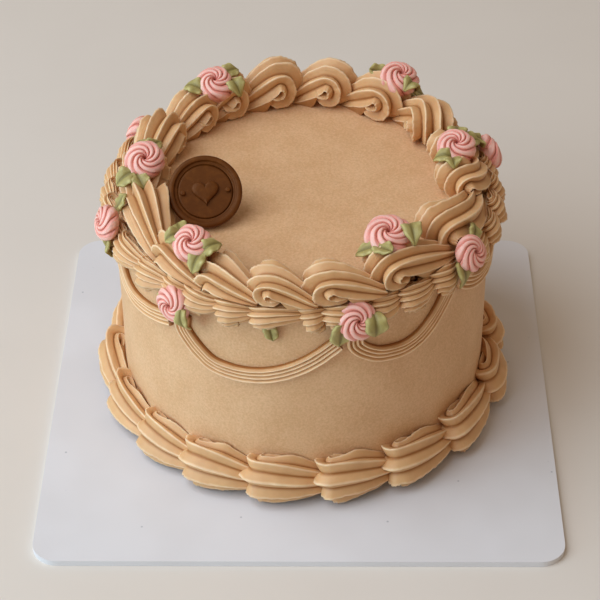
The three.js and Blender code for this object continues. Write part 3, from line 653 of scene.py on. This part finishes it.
def onBase(angle, across, up):
    out, rise = leaning(baseLook, across, up)
    z = np.maximum(baseLook["middleHeight"] + rise, baseLook["lowest"])
    return polar(cakeRadius - baseLook["sunk"] + np.maximum(out, 0), angle, z)


def makeBorders():
    count, stray = collarLook["count"], collarLook["spacingUneven"]
    heads = [360 * (index + stray * uneven(index, 3)) / count for index in range(count)]
    top = shellRing(topLook, topLook["heads"], topRadius, onTop)
    collar = shellRing(collarLook, heads, lambda angle: cakeRadius, onCollar)
    base = shellRing(baseLook, baseLook["heads"], lambda angle: cakeRadius, onBase)
    return [makePiece("topShells", top, piping, ["top_border"]),
            makePiece("rimShells", collar, piping, ["collar_border"]),
            makePiece("baseShells", base, piping, ["base_border"])]


# Roses, and the clusters of leaves beside them: (from, heading, length, width) for each leaf,
# and a fifth number where it starts further out

roseShape = {
    "ridges": 7, "ridgePoints": 18, "ridgeDepth": 0.22, "valleyDepth": 0.98, "valleyPower": 3.2,
    "steps": 56, "uneven": 0.08, "bumps": [(3, 0.02), (9, 0.03)], "firstTurn": 33,
    "top": {"height": 7, "sunk": 4}, "side": {"height": 5.5, "sunk": 1.5}, "sideFoot": 3.6,
    "grainStretch": 6, "grainAcross": 4, "grainPerSeed": 3.1, "seed": 50, "seedStep": 7,
    # where grooves come in at the side, sink in the top, and fade out beside the pit, and how far the pit's
    # painted shade reaches
    "cutReach": (0.3, 0.9), "sinkReach": (1.0, 0.6), "pitReach": (0, 0.25), "pitShade": (0, 0.3),
    # from the foot to the pit: share of the height, reach from the axis, twist and how deep the grooves are
    "rings": [
        (0.02, 0.92, 6, 0.6), (0.2, 0.99, -2, 1), (0.46, 0.99, -12, 1), (0.68, 0.9, -30, 1),
        (0.84, 0.74, -54, 1), (0.94, 0.56, -80, 1), (0.98, 0.39, -107, 1), (0.96, 0.24, -135, 1),
        (0.86, 0.12, -166, 0.9), (0.7, 0.05, -190, 0.5), (0.5, 0.02, -205, 0),
    ],
    "sunkRing": (0.72, 10, 0),
}
topKeys = "angle", "radius", "rise", "size", "lean", "toward", "leaves"
topRoses = [dict(zip(topKeys, row)) for row in [
    (124.5, 63.1, 13, 15.8, 20, -90,
     [[(-136, 150, 8, 7)], [(62, 36, 6.5, 7)], [(15, -60, 7, 7)]]),
    (55.8, 68.5, 13, 16.2, 24, -50,
     [[(124, -170, 7, 7)], [(-13, -126, 8, 6.5), (-13, 14, 7, 6.5)]]),
    (8.7, 61, 11, 16, 20, -90,
     [[(86, 84, 7, 7), (72, 8, 7, 7)], [(-101, 174, 7, 6), (-108, -84, 6, 6)]]),
    (-56.4, 58.8, 11, 17.6, 18, -90,
     [[(-125, 177, 7, 6), (-132, -44, 7.5, 6.5)], [(44, -80, 12.2, 7, 2.4)]]),
    (-126.5, 65.5, 10.5, 15, 32, -115,
     [[(121, -158, 7, 6), (130, 112, 7.5, 6)], [(-52, 31, 7, 6.5), (-52, -128, 7, 6.5)]]),
    (-179.2, 60.4, 12, 16, 33, -90,
     [[(99, 118, 5, 6), (86, 50, 6, 6)], [(-130, -150, 7, 7), (-117, -62, 6, 7)]]),
]]
sideKeys = "angle", "belowRim", "size", "tilt", "leaves"
sideRoses = [dict(zip(sideKeys, row)) for row in [
    (-160, -2, 14.4, 20, [[(100, 90, 6, 6)], [(-45, -108, 9.5, 6)]]),
    (-126.5, 8, 14, 8, [[(172, -108, 9.5, 6)], [(8, -84, 9.7, 5.5)]]),
    (-74.5, 6.5, 14.8, 24, [[(-178, -91, 9.5, 8)], [(22, -88, 9, 8)]]),
    (-36.5, -2.5, 14, 28, [[(-173, -81, 11.3, 7)], [(30, 40, 6, 6)]]),
    (18, 0.5, 14.2, 16, [[(-75, -85, 10, 8)], [(99, 100, 7, 6)]]),
    (62, 4, 14.2, 16, [[(165, 150, 9, 6)], [(-30, -50, 9, 6)]]),
    (107, 5, 14, 16, [[(-140, -120, 10, 6)], [(20, 10, 9, 6)]]),
    (148, 2, 14.4, 16, [[(-120, -110, 8, 6)], [(60, 60, 8, 6)]]),
]]
loneLeaf = {"angle": -98.5, "belowRim": 9.5, "size": 0, "tilt": 16, "leaves": [[(-80, -80, 7, 5)]],
            "names": ("loneLeaf", "leaf_lone")}


def aroundAxis(angle):
    return Vector(polar(1, angle, 0) - polar(0, 0, 0))


def topRoseFrame(rose):
    tilted = Matrix.Rotation(math.radians(rose["lean"]), 4, aroundAxis(rose["toward"] + 90))
    foot = Vector(polar(rose["radius"], rose["angle"], cakeHeight + rose["rise"]))
    return Matrix.Translation(foot) @ tilted


def sideRoseFrame(rose):
    outward = rose["angle"]
    foot = Vector(polar(cakeRadius + roseShape["sideFoot"], outward, cakeHeight - rose["belowRim"]))
    turned = Matrix.Identity(4)
    for column, axis in enumerate([aroundAxis(outward + 90), Vector((0, 0, 1)), aroundAxis(outward)]):
        turned.col[column][:3] = axis
    return Matrix.Translation(foot) @ turned @ Matrix.Rotation(-math.radians(rose["tilt"]), 4, "X")


def rosette(size, seed, height, sunk):
    look = roseShape
    draw = np.random.default_rng(seed)
    ridges, radius = look["ridges"], size / 2
    rings = [(-sunk, *look["sunkRing"])] + [(height * share, *rest) for share, *rest in look["rings"]]
    walk = np.linspace(0, len(rings) - 1, look["steps"])
    up, reach, twist, groove = [smoothThrough(column, walk)[:, None] for column in np.array(rings).T]
    ring = np.arange(ridges * look["ridgePoints"]) / look["ridgePoints"]
    valley = np.abs(2 * (ring % 1) - 1)
    crest = np.sqrt(1 - look["valleyDepth"] * valley ** look["valleyPower"])
    own = np.resize(draw.uniform(-1, 1, ridges), ridges + 1)
    own = 1 + look["uneven"] * np.interp(ring, np.arange(ridges + 1) + 0.5, own)
    depth = look["ridgeDepth"] * (1 - crest) * groove
    angle = np.radians(360 * ring / ridges + twist + draw.uniform(0, look["firstTurn"]))
    spot = stacked(np.cos(angle) * radius, np.sin(angle) * radius, up)
    rough = 1 + bumpy(spot, look["bumps"], seed + 1)
    out = radius * reach * own * rough * (1 - depth * ease(*look["cutReach"], reach))
    sink = depth * radius * ease(*look["sinkReach"], reach) * ease(*look["pitReach"], reach)
    points = stacked(out * np.cos(angle), out * np.sin(angle), up - sink)
    # painted shade: darker in the grooves, and darkest in the pit
    shade = between(1, crest, groove) * ease(*look["pitShade"], reach)
    return tube(points, shade, grainOf(look, walk[:, None], ring, seed))


def makeRoses(label, roses, frameOf):
    pieces = []
    for index, rose in enumerate(roses):
        seed = roseShape["seed"] + roseShape["seedStep"] * index + len(label)
        part = moved(frameOf(rose), rosette(rose["size"], seed, **roseShape[label]))
        name, node = f"{label}Rose{index + 1}", f"rose_{label}_{index + 1}"
        pieces.append(makePiece(name, [part], rosePink, [node]))
    return pieces


# Swags

swagLook = {
    "width": 6.6, "thickness": 2, "ropes": 4, "ropePoints": 9, "ropeRoundness": 0.75, "backEvery": 6,
    "grooveDepth": 1.3, "edgeSwell": 0.18, "inWall": 0.4,
    "bumps": [(14, 0.1), (4, 0.05)], "bumpPerSeed": 10,
    "stops": 6, "walkSteps": 400, "steps": 90, "grainStretch": 12, "grainAcross": 1.5, "grainPerSeed": 2.3,
    "startInset": 0.6, "endInset": 4.8, "startBelowRose": 7, "leadBelowRose": 14.5, "endBelowRose": 12.5,
    "fallPower": 3, "risePower": 2, "seed": 30,
    # for each swag: its lowest point's depth below the rim, and that point's share of the way
    "lowest": [(24, 0.48), (35.2, 0.4), (28.6, 0.44), (21.7, 0.5), (23.7, 0.5), (24, 0.48), (23.7, 0.5),
               (19, 0.5)],
}


def swagLine(rose, after, lowest, lowestAt):  # its middle, as points of angle and depth below the rim
    look = swagLook
    start = rose["angle"] + look["startInset"]
    span = (after["angle"] - look["endInset"] - start) % 360
    points = [(start, rose["belowRim"] + look["startBelowRose"])]
    for share in np.linspace(0, 1, look["stops"] + 1):
        if share < lowestAt:
            end, power, way = rose["belowRim"] + look["leadBelowRose"], look["fallPower"], lowestAt
        else:
            end, power, way = after["belowRim"] + look["endBelowRose"], look["risePower"], 1 - lowestAt
        climb = (abs(share - lowestAt) / way) ** power
        points.append((start + span * share, between(lowest, end, climb)))
    return np.array(points)


def swagBand(rose, after, lowest, lowestAt, seed):
    look = swagLook
    wall = cakeRadius + gap
    line = swagLine(rose, after, lowest, lowestAt)
    walk = np.linspace(0, len(line) - 1, look["walkSteps"])
    angle, depth = [smoothThrough(column, walk) for column in line.T]
    path = np.column_stack([np.radians(angle) * wall, cakeHeight - depth])
    travelled = np.concatenate([[0], np.cumsum(np.linalg.norm(np.diff(path, axis=0), axis=1))])
    stops = np.linspace(0, travelled[-1], look["steps"])
    here = np.column_stack([np.interp(stops, travelled, column) for column in path.T])
    ahead = np.gradient(here, axis=0)
    ahead /= np.linalg.norm(ahead, axis=1, keepdims=True)
    rope = np.linspace(0, look["ropes"], look["ropes"] * look["ropePoints"] + 1)
    crest = np.abs(np.sin(rope * math.pi)) ** look["ropeRoundness"]
    across = look["width"] * (rope / look["ropes"] - 0.5)
    back = across[::-1][::look["backEvery"]]
    onBack = np.arange(len(across) + len(back)) >= len(across)
    across, crest = np.concatenate([across, back]), np.concatenate([crest, np.zeros(len(back))])
    edges = 1 + look["edgeSwell"] * np.abs(2 * across / look["width"]) ** 2
    rough = 1 + bumpy(stacked(here[:, :1], across, seed * look["bumpPerSeed"]), look["bumps"], seed)
    out = (look["thickness"] - look["grooveDepth"] * (1 - crest)) * edges * rough
    out = np.where(onBack, -look["inWall"], out)
    along = here[:, :1] - ahead[:, 1:] * across
    up = here[:, 1:] + ahead[:, :1] * across
    sections = polar(wall + out, np.degrees(along / wall), up)
    # the rope profile is also the painted shade: dark between the ropes and on the back in the wall, a
    # highlight on the ropes
    return tube(sections, np.broadcast_to(crest, out.shape), grainOf(look, stops[:, None], across, seed))


def makeSwags():
    pieces = []
    for index, rose in enumerate(sideRoses):
        after = sideRoses[(index + 1) % len(sideRoses)]
        part = swagBand(rose, after, *swagLook["lowest"][index], swagLook["seed"] + index)
        pieces.append(makePiece(f"swag{index + 1}", [part], piping, [f"swag_{index + 1}"]))
    return pieces


# Leaves

leafShape = {
    "thickness": 1.6, "edgeThin": 0.35, "tipThin": 0.4, "fold": 1.5, "foldEase": 0.15,
    "crease": 0.35, "creaseWidth": 0.16, "creaseShade": 0.6, "creaseShadeWidth": 0.2,
    "ruffle": 0.35, "ruffles": 2.1, "waver": 0.07, "steps": 30, "sides": 17,
    "widths": [0.6, 0.9, 1.05, 1.0, 0.74, 0.12], "broad": 0.47, "rimShare": 0.06, "rim": 0.25,
    # painted light and shade over the leaf: middle, edges, ruffles, rims and underside
    "middleShade": 0.35, "edgeShade": 0.65, "ruffleShade": 0.6, "rimShade": 0.6, "underShade": 0.4,
    "offRose": -1.2, "underRose": 0.7, "steepest": 0.4, "middleAt": 0.55, "endAt": 0.9,
    "footReach": 2, "probe": 1, "dropFrom": 25, "rest": 0.15, "lowest": -2, "highest": 2.6,
    "grainStretch": 4, "grainAcross": 2, "grainPerSeed": 1.9,
    "seed": 300, "seedPerRose": 17, "seedPerLeaf": 5,
}


def surfaceTree(pieces):
    points, faces = [], []
    for piece in pieces:
        start = len(points)
        points += [vertex.co / mm for vertex in piece.data.vertices]
        faces += [[index + start for index in face.vertices] for face in piece.data.polygons]
    return BVHTree.FromPolygons(points, faces)


def restingHeight(spot, turned, tree, lowest):  # of what lies below a point in a rose's frame
    dropFrom, probe = leafShape["dropFrom"], leafShape["probe"]
    axis = turned.col[2].to_3d()
    highest = lowest
    for stepX, stepY in [(0, 0), (probe, 0), (-probe, 0), (0, probe), (0, -probe)]:
        start = turned @ Vector((spot[0] + stepX, spot[1] + stepY, dropFrom))
        hit = tree.ray_cast(start, -axis)
        if hit[3] is not None:
            highest = max(highest, dropFrom - hit[3])
    return highest


def towards(angle):
    return np.array([math.cos(math.radians(angle)), math.sin(math.radians(angle))])


def leafBlade(leaf, roseRadius, base, turned, tree, seed):
    look = leafShape
    start, heading, length, width, *further = leaf
    draw = np.random.default_rng(seed)
    root = towards(start) * (roseRadius + look["offRose"] + sum(further))
    forward = towards(heading)
    sideways = np.array([-forward[1], forward[0]])
    length = length - look["offRose"] * look["underRose"]
    fall = look["steepest"] * length
    middle = restingHeight(root + forward * length * look["middleAt"], turned, tree, base - fall)
    end = restingHeight(root + forward * length * look["endAt"], turned, tree, middle - fall)
    bow = 2 * (base + end) - 4 * middle
    walk = np.linspace(0, 1, look["steps"])
    widths = np.array(look["widths"]) * width * look["broad"]
    share, wide = walk[:, None], smoothThrough(widths, walk * (len(widths) - 1))[:, None]
    side = np.linspace(-1, 1, look["sides"])
    edge = np.abs(side)
    lay = base + look["rest"] + (end - base) * share - bow * share * (1 - share)
    phase = draw.uniform(0, 6.28)
    wave = share * look["ruffles"] * 2 * math.pi + phase
    ruffled = look["ruffle"] * np.sin(wave) * edge ** 1.5
    fold = look["fold"] * (edge - look["foldEase"] * edge ** 3) * np.sin(math.pi * np.clip(share, 0.1, 1))
    wavy = 1 + look["waver"] * np.sin(wave + 1)
    x, y = [root[axis] + forward[axis] * length * share + sideways[axis] * wide * side * wavy
            for axis in range(2)]
    low = lay + fold + ruffled
    thick = look["thickness"] * (1 - look["edgeThin"] * edge ** 4) * (1 - look["tipThin"] * share ** 6)
    crease = look["crease"] * np.exp(-(side / look["creaseWidth"]) ** 2) * ease(1, 0.7, share)
    top, bottom = stacked(x, y, low + thick - crease), stacked(x, y, low)
    rim = (top + bottom) / 2
    bulge = sideways * (wide * look["rimShare"] + look["rim"])
    rim[:, -1, :2] += bulge
    rim[:, 0, :2] -= bulge
    loop = np.concatenate([top, rim[:, -1:], bottom[:, ::-1], rim[:, :1]], axis=1)
    # painted light and shade: the middle darker, the edges and raised ruffles lighter, the crease darker
    crest = look["middleShade"] + look["edgeShade"] * edge ** 2 + look["ruffleShade"] * ruffled
    crest = np.clip(crest, 0, 1) * (1 - look["creaseShade"] * np.exp(-(side / look["creaseShadeWidth"]) ** 2))
    # painted shade on the rims and, darker, on the underside
    rimShade = np.full((len(walk), 1), look["rimShade"])
    shade = np.concatenate([crest, rimShade, crest[:, ::-1] * look["underShade"], rimShade], axis=1)
    grain = grainOf(look, share * length, np.linspace(0, width, shade.shape[1]), seed)
    return moved(turned, tube(loop, shade, grain))


def makeLeaves(label, roses, frameOf, tree):
    look = leafShape
    for index, rose in enumerate(roses):
        turned, radius = frameOf(rose), rose["size"] / 2
        for order, cluster in enumerate(rose["leaves"]):
            starts = [towards(leaf[0]) * (radius + look["footReach"]) for leaf in cluster]
            base = max(restingHeight(start, turned, tree, look["lowest"]) for start in starts)
            base = min(base, look["highest"])
            seed = look["seed"] + look["seedPerRose"] * index + look["seedPerLeaf"] * order + len(label)
            parts = [leafBlade(leaf, radius, base, turned, tree, seed + step)
                     for step, leaf in enumerate(cluster)]
            usual = f"{label}Leaf{index + 1}.{order + 1}", f"leaf_{label}_{index + 1}_{order + 1}"
            name, node = rose.get("names", usual)
            makePiece(name, parts, leafGreen, [node])


# Seal: a thick disc that leans back, with a raised rim and a raised heart between two dots

sealLook = {
    "diameter": 28.2, "thickness": 3.2, "rimWidth": 2.7, "recess": 1.2, "sides": 120, "smoothing": 3,
    "x": -36.7, "y": -17.6, "tilt": 42, "turn": 8,
    "motif": 10.5, "motifHeight": 1.15, "motifPoints": 72, "dotRadius": 1, "dotsAt": 0.82,
    # the relief's steps: scale of the outline and share of the height
    "reliefSteps": [(1.04, -0.3), (1.0, 0.0), (0.99, 0.45), (0.95, 0.8), (0.86, 1.0), (0.6, 1.04),
                    (0.3, 1.05), (0.02, 1.05)],
}


def roundedLathe(profile, sides, smoothing):
    walk = np.linspace(0, len(profile) - 1, (len(profile) - 1) * smoothing + 1)
    radius, z = [smoothThrough(column, walk)[:, None] for column in np.array(profile).T]
    angle = np.linspace(0, 2 * math.pi, sides, endpoint=False)
    radius = np.maximum(radius, 0.05)
    return stacked(radius * np.cos(angle), radius * np.sin(angle), z)


def raised(outline, middle, floor, height):  # a low rounded relief over an outline
    scale, up = [column[:, None] for column in np.array(sealLook["reliefSteps"]).T]
    return stacked(middle + outline[:, 0] * scale, outline[:, 1] * scale, floor + height * up)


def makeSeal():
    look = sealLook
    radius, thick = look["diameter"] / 2, look["thickness"]
    inner, floor = radius - look["rimWidth"], thick - look["recess"]
    profile = [  # from the middle of the back over the rim to the middle of the face
        (0, 0), (radius - 1.4, 0), (radius - 0.5, 0.1), (radius, 0.7), (radius, thick - 0.8),
        (radius - 0.3, thick - 0.2), (radius - 1, thick), (inner + 1.1, thick - 0.02),
        (inner + 0.7, thick - 0.15), (inner + 0.5, floor + 0.45), (inner + 0.1, floor + 0.28),
        (inner - 0.6, floor + 0.24), (inner - 0.8, floor + 0.02), (inner - 1.6, floor), (0, floor),
    ]
    turn = np.linspace(0, 2 * math.pi, look["motifPoints"], endpoint=False)
    # the usual heart curve, which is 32 units wide
    tall = 13 * np.cos(turn) - 5 * np.cos(2 * turn) - 2 * np.cos(3 * turn) - np.cos(4 * turn)
    heart = np.column_stack([16 * np.sin(turn) ** 3, tall])
    dot = np.column_stack([np.cos(turn), np.sin(turn)]) * look["dotRadius"]
    aside = look["dotsAt"] * look["motif"]
    shapes = [roundedLathe(profile, look["sides"], look["smoothing"])]
    for outline, middle in [(heart * look["motif"] / 32, 0), (dot, -aside), (dot, aside)]:
        shapes.append(raised(outline, middle, floor, look["motifHeight"]))
    tilt, spin = math.radians(look["tilt"]), math.radians(look["turn"])
    foot = Vector((cakeMiddle[0] + look["x"], cakeMiddle[1] + look["y"],
                   boardTop + cakeHeight + gap + radius * math.sin(tilt)))
    turned = Matrix.Translation(foot) @ Matrix.Rotation(spin, 4, "Z") @ Matrix.Rotation(tilt, 4, "X")
    parts = [moved(turned, tube(sections, np.ones(sections.shape[:2]))) for sections in shapes]
    return makePiece("sealDisc", parts, chocolate, ["chocolate_seal"])


# Assembly

dressBoard()
cakeBody = makeCake()
borders = makeBorders()
print("cake and borders made")
swags = makeSwags()
topRosettes = makeRoses("top", topRoses, topRoseFrame)
sideRosettes = makeRoses("side", sideRoses, sideRoseFrame)
seal = makeSeal()
print("swags, roses and seal made")
tree = surfaceTree([*borders[:2], *swags, *topRosettes, *sideRosettes, seal, cakeBody])
makeLeaves("top", topRoses, topRoseFrame, tree)
makeLeaves("side", sideRoses, sideRoseFrame, tree)
makeLeaves("lone", [loneLeaf], sideRoseFrame, tree)
print("leaves made")


# Floor, light and camera

studio = {
    "floor": {
        "size": 6000, "tone": colour(220, 210, 199), "cloudTone": colour(205, 194, 182), "cloudSize": 60,
        "cloudFrom": 0.3, "cloudSoftness": 0.4, "cloudStrength": 0.12, "roughness": 0.85,
    },
    "airTone": (1, 0.815, 0.62, 1), "airStrength": 0.35, "aimHeight": 50,
    "lamps": {
        "window": {"place": (-850, -330, 1150), "size": 1700, "power": 22.6, "tone": (0.76, 0.87, 1)},
        "white card": {"place": (-800, -520, 120), "size": 500, "power": 4.2, "tone": (0.45, 0.78, 1)},
    },
}


def makeFloor():
    look = studio["floor"]
    bpy.ops.mesh.primitive_plane_add(size=look["size"] * mm, location=(0, 0, 0))
    floor = bpy.context.object
    floor.name = "floor"
    finish = Finish("pale floor", Roughness=look["roughness"])
    cloud = finish.noise(look["cloudSize"], 3.0).above(look["cloudFrom"], look["cloudSoftness"])
    finish.set(Base_Color=finish.mix(cloud * look["cloudStrength"], look["tone"], look["cloudTone"]))
    floor.data.materials.append(finish.material)


def makeLight():
    scene = bpy.context.scene
    scene.view_settings.view_transform = "Standard"
    scene.world = bpy.data.worlds.new("soft daylight")
    scene.world.use_nodes = True
    air = scene.world.node_tree.nodes["Background"]
    air.inputs["Color"].default_value = studio["airTone"]
    air.inputs["Strength"].default_value = studio["airStrength"]
    for name, look in studio["lamps"].items():
        lamp = bpy.data.lights.new(name, "AREA")
        lamp.shape, lamp.size = "DISK", look["size"] * mm
        lamp.energy, lamp.color = look["power"], look["tone"]
        light = bpy.data.objects.new(name, lamp)
        light.location = Vector(look["place"]) * mm
        aim = Vector((0, 0, studio["aimHeight"])) * mm - light.location
        light.rotation_euler = aim.to_track_quat("-Z", "Y").to_euler()
        scene.collection.objects.link(light)


# The camera looks down on the front, from a fit to the board's edges and the cake's rim and foot.
cameraLook = {
    "place": (11.7, -641.5, 555.2), "down": 38.32, "yaw": -1.05, "roll": -0.62,
    "focalPixels": 2031.4, "picturePixels": 600, "sensor": 36, "farthest": 20000,
}


def makeCamera():
    look = cameraLook
    down, yaw, roll = [math.radians(look[name]) for name in ("down", "yaw", "roll")]
    ahead = Vector((math.sin(yaw) * math.cos(down), math.cos(yaw) * math.cos(down), -math.sin(down)))
    level = Vector((math.cos(yaw), -math.sin(yaw), 0))
    upright = level.cross(ahead)
    right = level * math.cos(roll) + upright * math.sin(roll)
    up = upright * math.cos(roll) - level * math.sin(roll)
    lens = bpy.data.cameras.new("camera")
    lens.sensor_width = look["sensor"]
    lens.lens = look["focalPixels"] / look["picturePixels"] * look["sensor"]
    lens.clip_end = look["farthest"] * mm
    camera = bpy.data.objects.new("camera", lens)
    turned = Matrix((right, up, -ahead)).transposed().to_4x4()
    camera.matrix_world = Matrix.Translation(Vector(look["place"]) * mm) @ turned
    bpy.context.scene.collection.objects.link(camera)
    bpy.context.scene.camera = camera


makeFloor()
makeLight()
makeCamera()
print("studio made")
